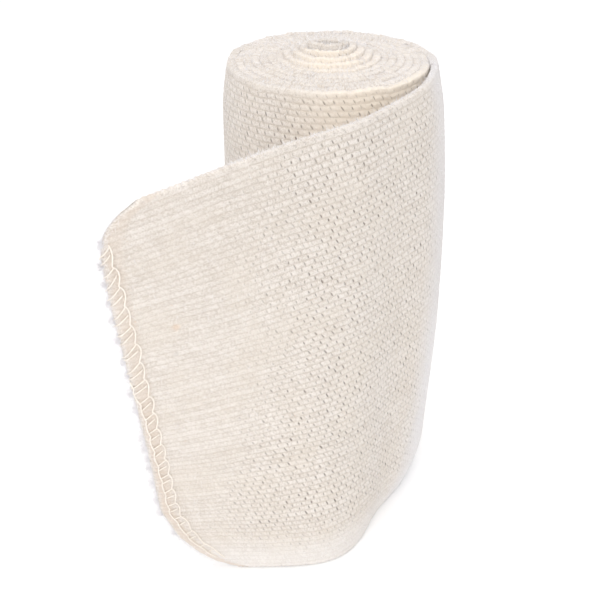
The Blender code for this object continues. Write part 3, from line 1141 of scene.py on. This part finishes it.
def crepe_cotton(name):
    """Woven crepe cotton, drawn in the lattice coordinates of the weave.

    Its tone is a sum: streaks along the rows, a random tone for each row and each float, a painted highlight on the
    crown of the floats, painted shade in the groove between two rows, and the grain of the fibres. The pinholes'
    painted shade and the flecks are laid over it, with painted bounce light on the roll and a painted rim light near
    the leaving line.
    """
    f = Finish(name)
    soft_cotton(f)
    lattice = f.node("ShaderNodeSeparateXYZ", inputs={0: f.node("ShaderNodeUVMap", {"uv_map": "weave"}).outputs[0]})
    columns, rows = Value(f, lattice.outputs["X"]), Value(f, lattice.outputs["Y"])
    opening, from_end, from_edge = (f.attribute(key) for key in ("opening", "from_end", "from_edge"))
    painted_rim_light, painted_bounce = (f.attribute(key) for key in ("painted_rim_light", "painted_bounce"))
    row = f.math("FLOOR", rows)
    up = (rows - row - 0.5) * (ROW_SPACING / MM)
    slipped = columns - row * ROW_SLIP
    cell = f.math("FLOOR", slipped)
    along = (slipped - cell - 0.5) * (HOLE_SPACING / MM)
    across = columns * (HOLE_SPACING / MM)
    height = rows * (ROW_SPACING / MM)
    plain = f.vector(across, height)
    woven = f.step(0.25, 0.9, from_edge)
    # The pinholes fade in the painted rim light.
    clear = woven * (1.0 - 0.75 * painted_rim_light)

    chances = [f.chance(f.vector(cell, row, level)) for level in (0.0, 7.0, 13.0)]
    tightness = f.step(0.32, 0.62, f.noise(plain, 0.13, 3.0))
    depth = pinholes(f, along, up, chances, opening) * (0.62 + 0.38 * tightness) * clear

    sway = f.noise(plain, 0.9, 2.0) - 0.5
    row_luck = f.chance(f.vector(0.0, row, 3.0))
    beads = (slipped - up * (HOLE_SLANT * MM / HOLE_SPACING)) * 2.0 + sway * 2.2 + (1.0 - opening) * row_luck
    bead = 0.5 - 0.5 * f.math("COSINE", beads * math.tau)
    bead_luck = f.chance(f.vector(f.math("FLOOR", beads), row, 5.0))
    ridge_way = up + sway * 0.35
    ridge = f.math("COSINE", ridge_way * (math.pi * MM / ROW_SPACING))
    firm = 0.55 + 0.45 * opening
    groove = f.step(0.40, 0.62, f.math("ABSOLUTE", ridge_way)) * woven * firm
    edge_bead = 0.5 - 0.5 * f.math("COSINE", (columns * (HOLE_SPACING / SELVEDGE_BUMP) + sway * 1.5) * math.tau)
    crown = (0.45 + 0.55 * bead) * (0.15 + 0.85 * ridge) * woven + (1.0 - woven) * (0.25 + 0.5 * edge_bead)
    streak = f.noise(f.vector(across * 0.05, row * 3.7), 1.0, 3.0)
    twist = f.noise(f.vector(across * 1.1 + height * 0.9, height * 0.6 - across * 0.2), 2.6, 4.0, 0.75)
    grain = f.noise(plain, 4.2, 3.0, 0.8)

    # Painted highlight on the crowns of the floats and painted shade in the grooves between rows, beside the cloth's
    # own streaks, random tone and grain.
    tone = 0.12 * (streak - 0.5) + 0.05 * (row_luck - 0.5) + 0.08 * (bead_luck - 0.5) + 0.20 * firm * (crown - 0.4)
    tone = tone + 0.50 * (twist - 0.5) + 1.0 * (grain - 0.5) - 0.06 * groove
    # The painted rim light flattens the tone.
    tone = tone * (1.0 - 0.6 * painted_rim_light)
    colour = f.mix(f.step(-0.19, 0.17, tone), COTTON_DEEP, COTTON_PALE)
    warm_patch = f.step(0.42, 0.66, f.noise(plain, 0.09, 3.0))
    colour = f.mix(warm_patch * 0.3, colour, COTTON_TAN)
    # Paler towards the foot, over its lowest 11 mm.
    colour = f.mix((1.0 - f.step(2.0, 11.0, height)) * 0.5, colour, COTTON_WHITE)
    # Painted bounce light: a warm tan laid on the roll's shaded wedge and hollow.
    colour = f.mix(painted_bounce * 0.85, colour, PAINTED_BOUNCE_TAN)
    # Painted rim light: a pale grey band laid over the cloth near the leaving line, bluer towards the foot.
    grey = f.mix(f.step(30.0, 60.0, height), PAINTED_RIM_BLUE_GREY, PAINTED_RIM_GREY)
    colour = f.mix(painted_rim_light * 0.72, colour, grey)
    band = (1.0 - f.step(2.4, 4.0, from_end)) * f.step(0.2, 1.2, from_end)
    colour = f.mix(band * (0.55 - 0.22 * f.step(50.0, 65.0, height)), colour, BAND_TAN)
    # Painted shade in the pinholes.
    colour = f.mix(depth * 0.92, colour, PAINTED_HOLE_SHADE)
    for fleck_along, fleck_up, size, fleck_colour in FLECKS:
        way = f.node("ShaderNodeVectorMath", {"operation": "DISTANCE"}, {0: plain, 1: (fleck_along, fleck_up, 0.0)})
        spot = 1.0 - f.step(0.2 * size, size, Value(f, way.outputs["Value"]) + sway * 0.8)
        colour = f.mix(spot * 0.30, colour, fleck_colour)
    fleck = f.step(0.970, 0.985, f.chance(f.vector(cell, row, 11.0)))
    spot = f.step(0.60, 0.72, f.noise(plain, 2.2))
    colour = f.mix(fleck * spot * 0.35, colour, SEED_ORANGE)
    f.feed(f.shader.inputs["Base Color"], colour)

    # The bump fades in the painted rim light too.
    relief = (1.2 * firm * crown + 1.3 * twist + 1.2 * grain - 0.2 * groove) * (1.0 - 0.5 * painted_rim_light) - 1.3 * depth
    bump = f.node("ShaderNodeBump", inputs={"Height": relief, "Strength": 0.8, "Distance": 0.16 * MM})
    f.feed(f.shader.inputs["Normal"], bump.outputs[0])
    return f.material


def thread_cotton(name):
    """Sewing thread: a little yellower and smoother than the cloth, with the twist showing faintly."""
    f = Finish(name)
    soft_cotton(f, 0.8, 0.25)
    place = f.node("ShaderNodeTexCoord").outputs["Object"]
    shade = f.noise(place, 900.0, 2.0)
    colour = f.mix(shade, (0.84, 0.76, 0.67), (0.96, 0.91, 0.85))
    f.feed(f.shader.inputs["Base Color"], colour)
    return f.material


def lint_cotton(name):
    """Loose fibres and frayed ends: paler and greyer than the cloth. The glow stands for light that passes through."""
    f = Finish(name)
    soft_cotton(f, 0.95, 0.3)
    place = f.node("ShaderNodeTexCoord").outputs["Object"]
    shade = f.noise(place, 400.0, 2.0)
    colour = f.mix(shade, (0.84, 0.82, 0.83), (0.95, 0.94, 0.96))
    f.shader.inputs["Emission Color"].default_value = (1.0, 0.96, 0.97, 1.0)
    f.shader.inputs["Emission Strength"].default_value = LINT_GLOW
    f.feed(f.shader.inputs["Base Color"], colour)
    return f.material


def lay_floor():
    """A wide white floor that glows a little, so that it stays white while the bandage isn't overlit."""
    mesh = bpy.data.meshes.new("floor")
    half = FLOOR_HALF_WIDTH
    corners = [(-half, -half, 0), (half, -half, 0), (half, half, 0), (-half, half, 0)]
    mesh.from_pydata(corners, [], [(0, 1, 2, 3)])
    f = Finish("floor_white")
    f.shader.inputs["Roughness"].default_value = 0.9
    f.shader.inputs["Specular IOR Level"].default_value = 0.1
    f.shader.inputs["Emission Color"].default_value = (1.0, 1.0, 1.0, 1.0)
    f.shader.inputs["Emission Strength"].default_value = FLOOR_GLOW
    place = f.node("ShaderNodeTexCoord").outputs["Object"]
    colour = f.mix(f.noise(place, 30.0), (0.965, 0.965, 0.97), (0.98, 0.98, 0.98))
    f.feed(f.shader.inputs["Base Color"], colour)
    mesh.materials.append(f.material)
    obj = bpy.data.objects.new("floor", mesh)
    obj.location.z = -FLOOR_GAP
    bpy.context.scene.collection.objects.link(obj)


def aim(obj, at):
    """Turns a lamp to face a point."""
    obj.rotation_euler = (Vector(at) - obj.location).to_track_quat("-Z", "Y").to_euler()


def light():
    world = bpy.data.worlds.new("studio")
    bpy.context.scene.world = world
    world.use_nodes = True
    world.node_tree.nodes["Background"].inputs["Color"].default_value = (1.0, 1.0, 1.0, 1.0)
    world.node_tree.nodes["Background"].inputs["Strength"].default_value = WORLD_STRENGTH
    for name, place, size, power, colour in LAMPS:
        lamp = bpy.data.lights.new(name, "AREA")
        lamp.shape = "DISK"
        lamp.size = size
        lamp.energy = power
        lamp.color = colour
        obj = bpy.data.objects.new(name, lamp)
        obj.location = place
        bpy.context.scene.collection.objects.link(obj)
        aim(obj, LAMP_TARGET)


def set_camera():
    data = bpy.data.cameras.new("camera")
    data.lens = CAMERA_LENS
    data.sensor_width = CAMERA_SENSOR
    data.clip_start = CAMERA_NEAR
    camera = bpy.data.objects.new("camera", data)
    camera.location = np.array(CAMERA_FROM_AXIS) + AXIS
    camera.rotation_euler = (math.pi / 2 - CAMERA_PITCH, 0, 0)
    bpy.context.scene.collection.objects.link(camera)
    bpy.context.scene.camera = camera
    view = bpy.context.scene.view_settings
    view.view_transform = "Standard"
    view.look = "None"


AXIS = roll_axis()
CREPE = crepe_cotton("crepe_cotton")
set_camera()
light()
lay_floor()
cloth = loose_end(CREPE)
outer = outer_turn(CREPE)
inner = inner_turns(CREPE)
stitching = overlock(thread_cotton("overlock_thread_cotton"))
LINT = lint_cotton("lint_cotton")
knobs = cut_tufts(LINT)
cloth_lint = cloth_fuzz(LINT)
roll_lint = roll_fuzz(LINT)
top_lint = top_fuzz(LINT)

outer_length = wound_length(WOUND) - wound_length(WOUND - OUTER_TURNS * FULL_TURN)
inner_length = wound_length(WOUND - OUTER_TURNS * FULL_TURN)
